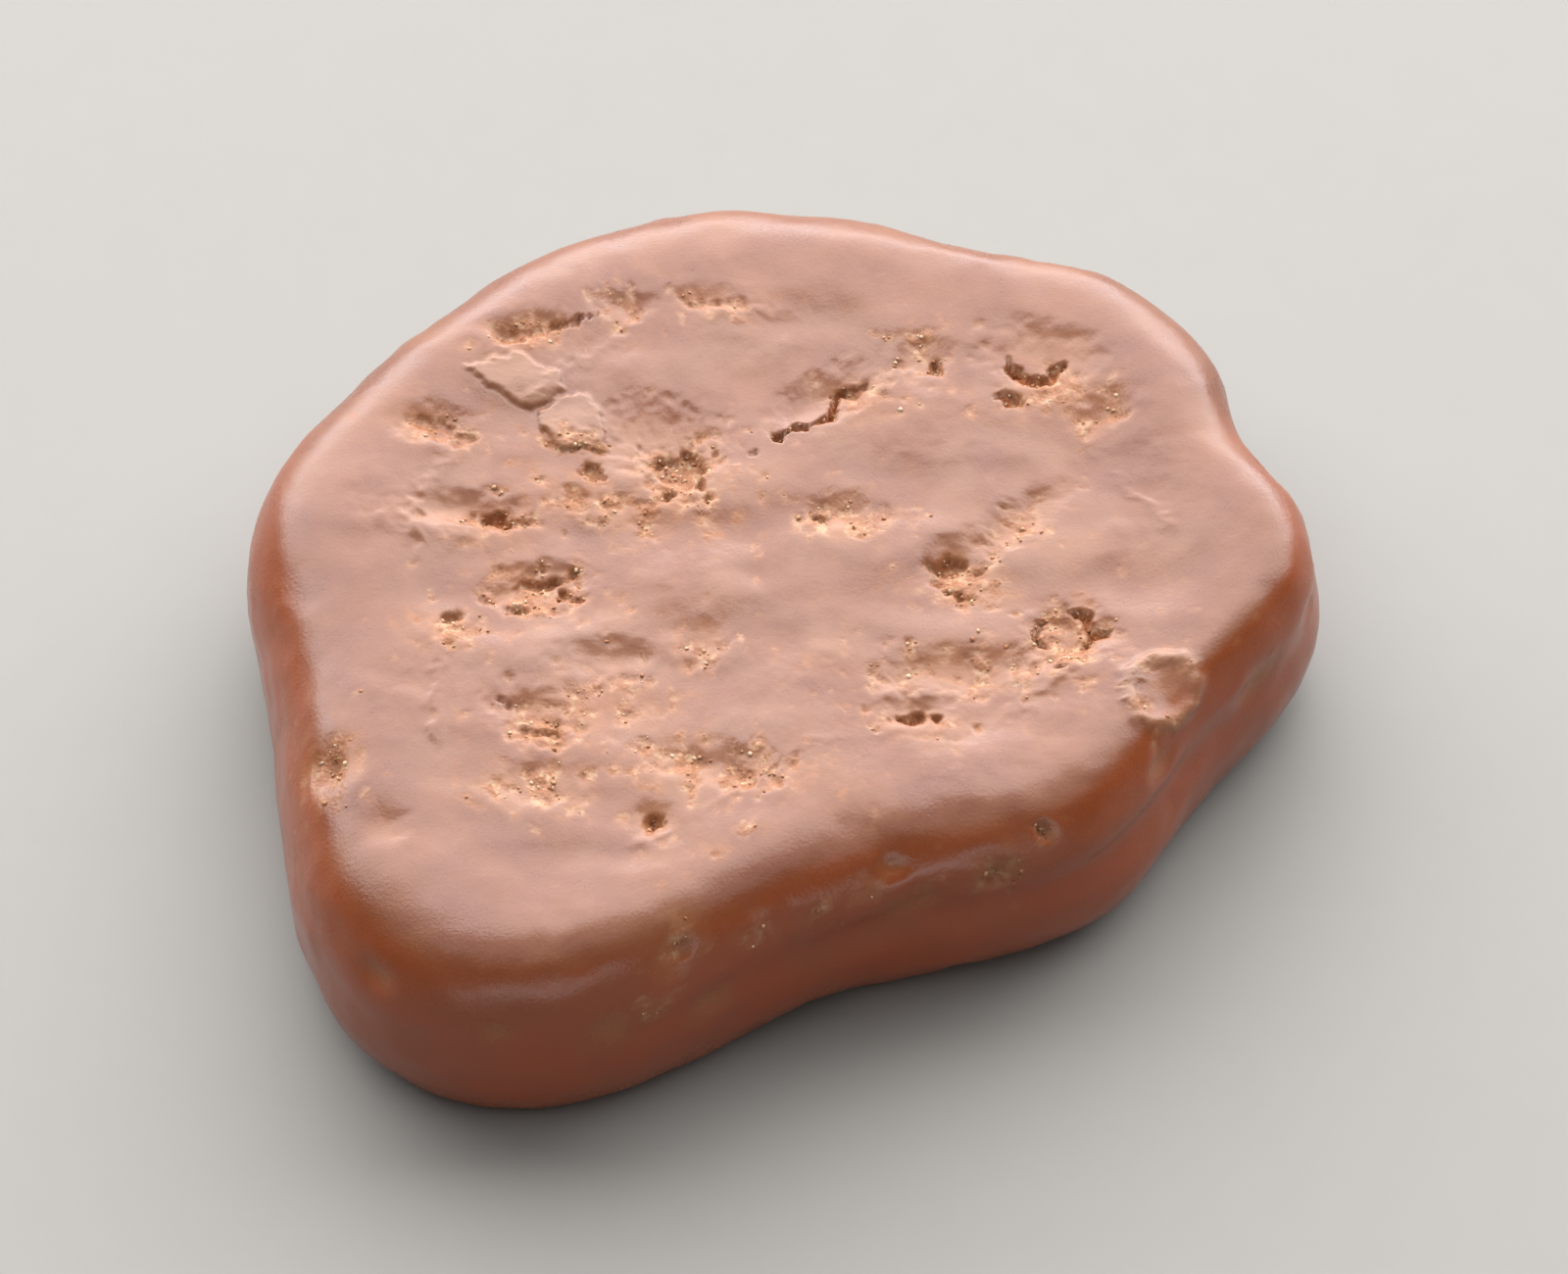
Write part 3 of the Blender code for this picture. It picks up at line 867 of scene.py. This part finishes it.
@dataclass
class CoatCrumbs:
    """The loose grains that sit in the broken coat, scattered by Geometry Nodes."""

    density: float = 14e6
    smallest: float = 0.03 * MM
    largest: float = 0.12 * MM
    roundness: float = 0.35
    seed: int = 11

    def build(self, coat: bpy.types.Object, finish: "Crumb") -> bpy.types.Object:
        """Scatters the grains over the coat's crumbly patches.

        Args:
            coat: the coat that they sit on.
            finish: what they are dressed in.

        Returns:
            The grains' object, a plain mesh.
        """
        source = new_object("crumb_source", coat.data)
        modifier = source.modifiers.new("scatter", "NODES")
        modifier.node_group = self.scatter_tree()
        values = {"Density": self.density, "Smallest": self.smallest, "Largest": self.largest}
        values |= {"Seed": self.seed, "Material": finish.material()}
        for socket in modifier.node_group.interface.items_tree:
            if socket.in_out == "INPUT" and socket.name in values:
                modifier[socket.identifier] = values[socket.name]
        graph = bpy.context.evaluated_depsgraph_get()
        mesh = bpy.data.meshes.new_from_object(source.evaluated_get(graph))
        bpy.data.objects.remove(source)
        mesh.name = "coat_crumbs"
        mesh.shade_smooth()
        crumbs = new_object("coat_crumbs", mesh)
        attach(crumbs, ROOT)
        return crumbs

    def scatter_tree(self) -> bpy.types.NodeTree:
        """Builds the tree that scatters grains where the coat's crumb attribute is high.

        Returns:
            The tree.
        """
        tree = bpy.data.node_groups.new("crumb_scatter", "GeometryNodeTree")
        kinds = {"Geometry": "Geometry", "Seed": "Int", "Material": "Material"}
        for name in ("Geometry", "Density", "Smallest", "Largest", "Seed", "Material"):
            kind = "NodeSocket" + kinds.get(name, "Float")
            tree.interface.new_socket(name, in_out="INPUT", socket_type=kind)
        tree.interface.new_socket("Geometry", in_out="OUTPUT", socket_type="NodeSocketGeometry")
        graph = Graph(tree)
        given = graph.add("NodeGroupInput").outputs
        crumb = graph.number(
            graph.add("GeometryNodeInputNamedAttribute", {"Name": "crumb"}, data_type="FLOAT")
        )
        density = crumb * crumb * Wire(graph, given["Density"])
        spread = {"Mesh": given["Geometry"], "Density": density, "Seed": given["Seed"]}
        points = graph.add("GeometryNodeDistributePointsOnFaces", spread)
        ball = graph.add("GeometryNodeMeshIcoSphere", {"Radius": 1.0, "Subdivisions": 1})
        size = self.chance(graph, "FLOAT", given["Smallest"], given["Largest"], 1)
        shape = self.chance(graph, "FLOAT_VECTOR", (self.roundness,) * 3, (1.0, 1.0, 1.0), 2)
        scale = graph.add("ShaderNodeVectorMath", {"Vector": shape, "Scale": size}, operation="SCALE")
        turn = self.chance(graph, "FLOAT_VECTOR", (0.0, 0.0, 0.0), (TAU, TAU, TAU), 3)
        place = {"Points": points, "Instance": ball, "Rotation": turn, "Scale": scale}
        laid = graph.add("GeometryNodeInstanceOnPoints", place)
        tone = {"Geometry": laid, "Name": "tone", "Value": self.chance(graph, "FLOAT", 0.0, 1.0, 4)}
        toned = graph.add("GeometryNodeStoreNamedAttribute", tone, data_type="FLOAT", domain="INSTANCE")
        plain = graph.add("GeometryNodeRealizeInstances", {"Geometry": toned})
        dress = {"Geometry": plain, "Material": given["Material"]}
        graph.add("NodeGroupOutput", {"Geometry": graph.add("GeometryNodeSetMaterial", dress)})
        return tree

    def chance(self, graph: "Graph", kind: str, low: Any, high: Any, seed: int) -> Socket:
        """A random value for each grain.

        Args:
            graph: the tree it goes in.
            kind: FLOAT or FLOAT_VECTOR.
            low: its least value.
            high: its greatest value.
            seed: sets it apart from the others.

        Returns:
            The value's socket.
        """
        node = graph.add("FunctionNodeRandomValue", data_type=kind)
        usable = [socket for socket in node.inputs if socket.enabled]
        for name, value in (("Min", low), ("Max", high), ("Seed", seed)):
            graph.give(next(socket for socket in usable if socket.name == name), value)
        return next(socket for socket in node.outputs if socket.enabled)


Number = Union["Wire", float]


class Wire:
    """A number on its way through a material. Sums on it add their Math nodes."""

    def __init__(self, graph: "Graph", socket: Socket) -> None:
        """Wraps an output socket of one of the graph's nodes."""
        self.graph = graph
        self.socket = socket

    def math(self, operation: str, first: Number, second: Number) -> "Wire":
        """The result of a Math node's operation on two numbers."""
        node = self.graph.add("ShaderNodeMath", {0: first, 1: second}, operation=operation)
        return self.graph.number(node)

    def __add__(self, other: Number) -> "Wire":
        """The sum."""
        return self.math("ADD", self, other)

    def __sub__(self, other: Number) -> "Wire":
        """The difference."""
        return self.math("SUBTRACT", self, other)

    def __rsub__(self, other: Number) -> "Wire":
        """The difference, reflected."""
        return self.math("SUBTRACT", other, self)

    def __mul__(self, other: Number) -> "Wire":
        """The product."""
        return self.math("MULTIPLY", self, other)

    def ramp(self, low: float, high: float) -> "Wire":
        """A smooth ramp from 0 at low to 1 at high.

        Args:
            low: the ramp's start.
            high: its end.

        Returns:
            The ramp.
        """
        inputs = {"Value": self, "From Min": low, "From Max": high}
        node = self.graph.add("ShaderNodeMapRange", inputs, interpolation_type="SMOOTHSTEP")
        return self.graph.number(node)


class Graph:
    """A node tree while it is being wired."""

    def __init__(self, tree: bpy.types.NodeTree) -> None:
        """Starts on an empty tree."""
        self.tree = tree

    def add(self, kind: str, inputs: Optional[dict[Any, Any]] = None, **settings: Any) -> bpy.types.Node:
        """Adds a node.

        Args:
            kind: the node's type.
            inputs: what each input named or numbered is given.
            settings: the node's properties, which are set first.

        Returns:
            The node.
        """
        node = self.tree.nodes.new(kind)
        for name, value in settings.items():
            setattr(node, name, value)
        for name, value in (inputs or {}).items():
            self.give(node.inputs[name], value)
        return node

    def give(self, target: Socket, value: Any) -> None:
        """Links a wire, a socket or a node's first output to an input, or sets a plain value.

        Args:
            target: the input.
            value: what it is given.
        """
        source = value.outputs[0] if isinstance(value, bpy.types.Node) else value
        source = source.socket if isinstance(source, Wire) else source
        if isinstance(source, Socket):
            self.tree.links.new(source, target)
        else:
            target.default_value = source

    def number(self, node: bpy.types.Node, output: Union[str, int] = 0) -> Wire:
        """One of a node's outputs as a number."""
        return Wire(self, node.outputs[output])


class Paint(Graph):
    """A material's node tree while it is being wired."""

    def __init__(self, name: str) -> None:
        """Starts a material with an empty tree.

        Args:
            name: the material's name.
        """
        self.material = bpy.data.materials.new(name)
        self.material.use_nodes = True
        super().__init__(self.material.node_tree)
        self.tree.nodes.clear()

    def attribute(self, name: str) -> Wire:
        """A number stored on the mesh."""
        return self.number(self.add("ShaderNodeAttribute", attribute_name=name), "Fac")

    def place(self) -> Socket:
        """Object coordinates in metres."""
        return self.add("ShaderNodeTexCoord").outputs["Object"]

    def noise(self, size: float, detail: float) -> Wire:
        """Noise from 0 to 1, its features as broad as size in metres."""
        inputs = {"Vector": self.place(), "Scale": 1 / size, "Detail": detail, "Roughness": 0.6}
        return self.number(self.add("ShaderNodeTexNoise", inputs), "Fac")

    def cells(self, size: float) -> Wire:
        """Distance from the nearest of many scattered points, in parts of size."""
        inputs = {"Vector": self.place(), "Scale": 1 / size}
        return self.number(self.add("ShaderNodeTexVoronoi", inputs), "Distance")

    def blend(self, factor: Number, first: Any, second: Any) -> Socket:
        """Mixes two colours.

        Args:
            factor: 0 for the first, 1 for the second.
            first: a colour or a colour socket.
            second: a colour or a colour socket.

        Returns:
            The mixed colour's socket.
        """
        node = self.add("ShaderNodeMix", data_type="RGBA")
        by_name = {socket.identifier: socket for socket in node.inputs}
        for name, value in (("Factor_Float", factor), ("A_Color", first), ("B_Color", second)):
            self.give(by_name[name], (*value, 1.0) if isinstance(value, tuple) else value)
        return next(s for s in node.outputs if s.identifier == "Result_Color")

    def bump(self, height: Wire, depth: float, below: Optional[Socket] = None) -> Socket:
        """Fine relief in the normal.

        Args:
            height: the relief, 0 to 1.
            depth: its real height in metres.
            below: a coarser relief's normal that it sits on.

        Returns:
            The normal's socket.
        """
        inputs = {"Height": height, "Distance": depth, "Strength": 1.0}
        if below is not None:
            inputs["Normal"] = below
        return self.add("ShaderNodeBump", inputs).outputs["Normal"]

    def surface(self, inputs: dict[str, Any]) -> bpy.types.Material:
        """Ends the tree in a Principled shader with those inputs and returns the material."""
        self.add("ShaderNodeOutputMaterial", {"Surface": self.add("ShaderNodeBsdfPrincipled", inputs)})
        return self.material


@dataclass(frozen=True)
class MilkChocolate:
    """Satin milk chocolate that turns golden and rough where the coat is broken and crumbly, with painted
    shade on the rim's steep sides and a painted glow in its hollows and pits.
    """

    coat: Colour = (0.143, 0.042, 0.018)
    tan: Colour = (0.172, 0.058, 0.023)
    # Painted shade: the shoulder and steep-side colours paint the redder, more saturated brown of the rim's
    # sides in shade.
    shoulder_shade: Colour = (0.192, 0.043, 0.011)
    steep_side_shade: Colour = (0.236, 0.045, 0.011)
    amber: Colour = (0.240, 0.084, 0.026)
    crumb: Colour = (0.275, 0.108, 0.042)
    crumb_pale: Colour = (0.400, 0.250, 0.150)
    # Pits: their own orange-brown, made lighter as a painted glow that offsets the shade inside them.
    deep: Colour = (0.400, 0.120, 0.034)
    flake: Colour = (0.240, 0.118, 0.068)
    mottle_size: float = 2.6 * MM
    crumb_mottle_size: float = 0.40 * MM
    smooth_roughness: float = 0.31
    crumb_roughness: float = 0.60
    grain_size: float = 0.12 * MM
    grain_depth: float = 0.014 * MM
    pore_size: float = 0.16 * MM
    pore_depth: float = 0.035 * MM
    mottle_span: Span = (0.34, 0.66)
    shoulder_shade_span: Span = (0.05, 0.36)
    steep_side_shade_span: Span = (0.30, 0.90)
    pale_span: Span = (0.48, 0.70)
    broken_span: Span = (0.30, 0.60)
    deep_span: Span = (0.30, 1.0)
    flake_share: float = 0.6
    glow: float = 0.12
    glow_reach: float = 0.5 * MM

    def material(self) -> bpy.types.Material:
        """Builds the material.

        Returns:
            The material.
        """
        graph = Paint("milk_chocolate_coat")
        crumb, hollow, side, amber, flake = (graph.attribute(name) for name in NOTES)
        mottle = graph.noise(self.mottle_size, 6.0).ramp(*self.mottle_span)
        fine = graph.noise(self.crumb_mottle_size, 3.0)
        colour = graph.blend(mottle, self.coat, self.tan)
        # Painted shade on the rim's steep sides, weaker on the far side: the shoulder colour first, then the
        # redder steep-side colour.
        colour = graph.blend(side.ramp(*self.shoulder_shade_span), colour, self.shoulder_shade)
        steep_side_shade = graph.blend(mottle * 0.3, self.steep_side_shade, self.tan)
        colour = graph.blend(side.ramp(*self.steep_side_shade_span), colour, steep_side_shade)
        # amber: the real golden tint of crumbly patches, and over the hollows a painted glow that offsets
        # their shade.
        colour = graph.blend(amber * (mottle * 0.5 + 0.4), colour, self.amber)
        colour = graph.blend(flake * self.flake_share, colour, self.flake)
        golden = graph.blend(fine.ramp(*self.pale_span), self.crumb, self.crumb_pale)
        broken = crumb * (1 - side * 0.5)
        colour = graph.blend(broken * fine.ramp(*self.broken_span), colour, golden)
        # Painted glow in the deepest pits, over their own orange-brown.
        colour = graph.blend(hollow.ramp(*self.deep_span) * 0.9, colour, self.deep)
        rough = crumb * (self.crumb_roughness - self.smooth_roughness) + self.smooth_roughness
        rough = rough + amber * 0.06 - side * 0.09
        normal = graph.bump(graph.noise(self.grain_size, 4.0), self.grain_depth)
        normal = graph.bump(crumb * graph.cells(self.pore_size), self.pore_depth, normal)
        inputs = {
            "Base Color": colour,
            "Roughness": rough + (mottle - 0.5) * 0.08,
            "Normal": normal,
            "IOR": 1.48,
            "Subsurface Weight": self.glow,
            "Subsurface Radius": (1.0, 0.35, 0.12),
            "Subsurface Scale": self.glow_reach,
        }
        return graph.surface(inputs)


@dataclass(frozen=True)
class Crumb:
    """Golden to cream grains, some of them dark with chocolate."""

    dark: Colour = (0.260, 0.095, 0.036)
    golden: Colour = (0.350, 0.172, 0.080)
    cream: Colour = (0.470, 0.335, 0.225)
    roughness: float = 0.60

    def material(self) -> bpy.types.Material:
        """Builds the material.

        Returns:
            The material.
        """
        graph = Paint("coat_crumbs")
        tone = graph.attribute("tone")
        colour = graph.blend(tone.ramp(0.05, 0.50), self.dark, self.golden)
        colour = graph.blend(tone.ramp(0.50, 0.95), colour, self.cream)
        return graph.surface({"Base Color": colour, "Roughness": self.roughness, "IOR": 1.45})


@dataclass(frozen=True)
class PaleFloor:
    """A matt pale surface under the chip."""

    colour: Colour = (0.215, 0.206, 0.193)
    speck: Colour = (0.206, 0.197, 0.184)
    speck_size: float = 2.0 * MM

    def material(self) -> bpy.types.Material:
        """Builds the material.

        Returns:
            The material.
        """
        graph = Paint("pale_floor")
        colour = graph.blend(graph.noise(self.speck_size, 3.0), self.colour, self.speck)
        return graph.surface({"Base Color": colour, "Roughness": 0.6})


@dataclass(frozen=True)
class SoftLight:
    """A rectangular light: its place from the chip's middle, its width, height and radiance."""

    name: str
    place: tuple[float, float, float]
    size: tuple[float, float]
    radiance: float

    def hang(self, middle: Vector) -> None:
        """Hangs it, facing the chip's middle.

        Args:
            middle: the chip's middle.
        """
        data = bpy.data.lights.new(self.name, "AREA")
        data.shape = "RECTANGLE"
        data.size, data.size_y = self.size
        data.energy = self.radiance * math.pi * data.size * data.size_y
        lamp = new_object(self.name, data)
        lamp.location = middle + Vector(self.place)
        lamp.rotation_euler = (-Vector(self.place)).to_track_quat("-Z", "Y").to_euler()


@dataclass
class Studio:
    """The floor, the soft lights and the camera."""

    floor_side: float = 1.2
    elevation: float = 55.0
    camera_distance: float = 0.30
    lens: float = 205.0
    lights: tuple[SoftLight, ...] = (
        SoftLight("softbox", (0.0, 0.3346, 0.3716), (1.70, 0.60), 5.6),
        SoftLight("overhead", (0.0, -0.12, 0.52), (1.0, 0.30), 1.3),
        SoftLight("backdrop", (0.0, 0.59, 0.10), (1.4, 0.19), 7.5),
        SoftLight("fill", (0.05, -0.55, 0.10), (0.7, 0.11), 3.3),
    )
    sky: float = 0.12
    sky_colour: Colour = (1.0, 0.98, 0.96)

    def build(self, finish: PaleFloor) -> None:
        """Sets the studio round the chip.

        Args:
            finish: the floor's finish.
        """
        low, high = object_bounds()
        middle = (low + high) / 2
        self.lay_floor(finish)
        self.light(middle)
        self.set_camera(middle)
        bpy.context.scene.view_settings.view_transform = "Standard"

    def lay_floor(self, finish: PaleFloor) -> None:
        """Lays the floor under the foot.

        Args:
            finish: the floor's finish.
        """
        half = self.floor_side / 2
        corners = [(-half, -half, 0), (half, -half, 0), (half, half, 0), (-half, half, 0)]
        mesh = bpy.data.meshes.new("floor")
        mesh.from_pydata(corners, [], [(0, 1, 2, 3)])
        mesh.materials.append(finish.material())
        new_object("floor", mesh)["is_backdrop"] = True

    def light(self, middle: Vector) -> None:
        """Hangs the soft lights round the chip's middle and sets a faint even sky.

        Args:
            middle: the chip's middle.
        """
        for lamp in self.lights:
            lamp.hang(middle)
        world = bpy.data.worlds.new("studio")
        world.use_nodes = True
        background = world.node_tree.nodes["Background"].inputs
        background["Color"].default_value = (*self.sky_colour, 1.0)
        background["Strength"].default_value = self.sky
        bpy.context.scene.world = world

    def set_camera(self, middle: Vector) -> None:
        """Aims the camera down at the face from in front.

        Args:
            middle: the chip's middle.
        """
        slope = math.radians(self.elevation)
        data = bpy.data.cameras.new("camera")
        data.lens = self.lens
        data.clip_start = 0.01
        camera = new_object("camera", data)
        back = Vector((0.0, -math.cos(slope), math.sin(slope)))
        camera.location = middle + back * self.camera_distance
        camera.rotation_euler = (middle - camera.location).to_track_quat("-Z", "Y").to_euler()
        bpy.context.scene.camera = camera


def note_sizes() -> None:
    """Puts the solid's box and the dressed chip's box side by side as plain lists."""
    boxes = {"cad": CAD_BOX, "visual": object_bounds()}
    plain = {name: [list(map(float, corner)) for corner in box] for name, box in boxes.items()}


def main() -> None:
    """Builds the coat and the studio in order."""
    logging.basicConfig(level=logging.INFO)
    coat = ChocolateCoat().build(MilkChocolate())
    log.info("%s: %d faces", coat.name, len(coat.data.polygons))
    crumbs = CoatCrumbs().build(coat, Crumb())
    log.info("%s: %d faces", crumbs.name, len(crumbs.data.polygons))
    Studio().build(PaleFloor())
    note_sizes()


if __name__ == "__main__":
    main()
